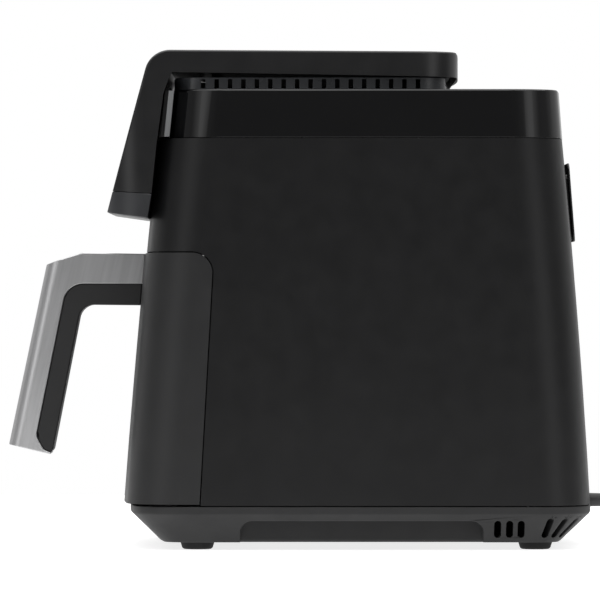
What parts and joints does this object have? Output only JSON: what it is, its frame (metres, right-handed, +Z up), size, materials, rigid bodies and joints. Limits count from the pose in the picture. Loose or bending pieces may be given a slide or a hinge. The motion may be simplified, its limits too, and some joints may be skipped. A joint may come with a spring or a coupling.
{
  "type": "air fryer",
  "caption": "Basket air fryer with an L-shaped console over a top air intake, a wrap-round drawer with a bucket, and a bent handle.",
  "frame": {"origin": "on the floor under the middle of the box that holds the body and handle, without the mains lead", "axes": "+Z up, the drawer opens towards -Y, +X to the right side when seen from behind the drawer's handle looking at the rear"},
  "size_m": [0.312, 0.5154, 0.3307],
  "materials": {
    "shell_plastic": "satin",
    "band_plastic": "gloss",
    "console_plastic": "semi-gloss",
    "trim_plastic": "satin",
    "base_plastic": "fine texture",
    "inner_plastic": "matt",
    "panel_glass": "gloss",
    "handle_silver": "brushed",
    "grip_plastic": "satin",
    "foot_rubber": "matt",
    "nonstick": "satin",
    "silicone": "matt",
    "liner_steel": "rolled",
    "fan_aluminium": "pressed",
    "element_steel": "heat-darkened",
    "motor_steel": "rolled",
    "screw_steel": "zinc-plated",
    "board_laminate": "laminate",
    "cord_rubber": "satin",
    "pin_metal": "plated"
  },
  "bodies": {
    "housing": {"main_shell": "shell_plastic", "upper_band": "band_plastic", "base_tray": "base_plastic", "base_feet": "foot_rubber", "base_screws": "screw_steel", "console_cover": "console_plastic", "touch_panel": "panel_glass", "console_trim": "trim_plastic", "console_plate": "inner_plastic", "drip_lip": "inner_plastic", "air_grille": "shell_plastic", "console_neck": "inner_plastic", "neck_blades": "trim_plastic", "control_board": "board_laminate", "cavity_liner": "liner_steel", "front_frame": "inner_plastic", "rail_left": "liner_steel", "rail_right": "liner_steel", "chamber_dome": "liner_steel", "heating_element": "element_steel", "element_clips": "liner_steel", "element_guard": "liner_steel", "heat_shield": "liner_steel", "motor_bracket": "liner_steel", "motor": "motor_steel", "motor_screws": "screw_steel", "temperature_sensor": "element_steel", "thermal_fuse": "screw_steel", "mains_board": "board_laminate", "drawer_switch": "inner_plastic", "outlet_duct": "inner_plastic", "outlet_cover": "shell_plastic", "strain_relief": "cord_rubber", "power_cord": "cord_rubber", "cord_coil": "cord_rubber", "cord_tail": "cord_rubber", "plug_body": "cord_rubber", "plug_pins": "pin_metal"},
    "drawer": {"drawer_front": "shell_plastic", "drawer_back_plate": "inner_plastic", "bucket": "nonstick", "handle_shell": "handle_silver", "handle_grip": "grip_plastic", "handle_bracket": "liner_steel", "handle_screws": "screw_steel"},
    "crisper": {"crisper_plate": "nonstick", "plate_pads": "silicone"},
    "rotor": {"hot_fan": "fan_aluminium", "motor_shaft": "motor_steel", "cooling_fan": "fan_aluminium"},
    "plunger": {"switch_plunger": "inner_plastic"}
  },
  "joints": [
    {"name": "drawer_slide", "type": "slide", "parent": "housing", "child": "drawer", "axis": [0, -1, 0], "range_m": [0, 0.25]},
    {"name": "crisper_lift", "type": "slide", "parent": "drawer", "child": "crisper", "axis": [0, 0, 1], "range_m": [0, 0.118]},
    {"name": "fan_spin", "type": "hinge", "parent": "housing", "child": "rotor", "pos_m": [0, 0.045, 0.24], "axis": [0, 0, 1], "continuous": true},
    {"name": "plunger_slide", "type": "slide", "parent": "housing", "child": "plunger", "axis": [0, -1, 0], "range_m": [0, 0.0026]}
  ],
  "couplings": [
    {"joint": "plunger_slide", "follows": "drawer_slide", "ratio": 0.01}
  ]
}
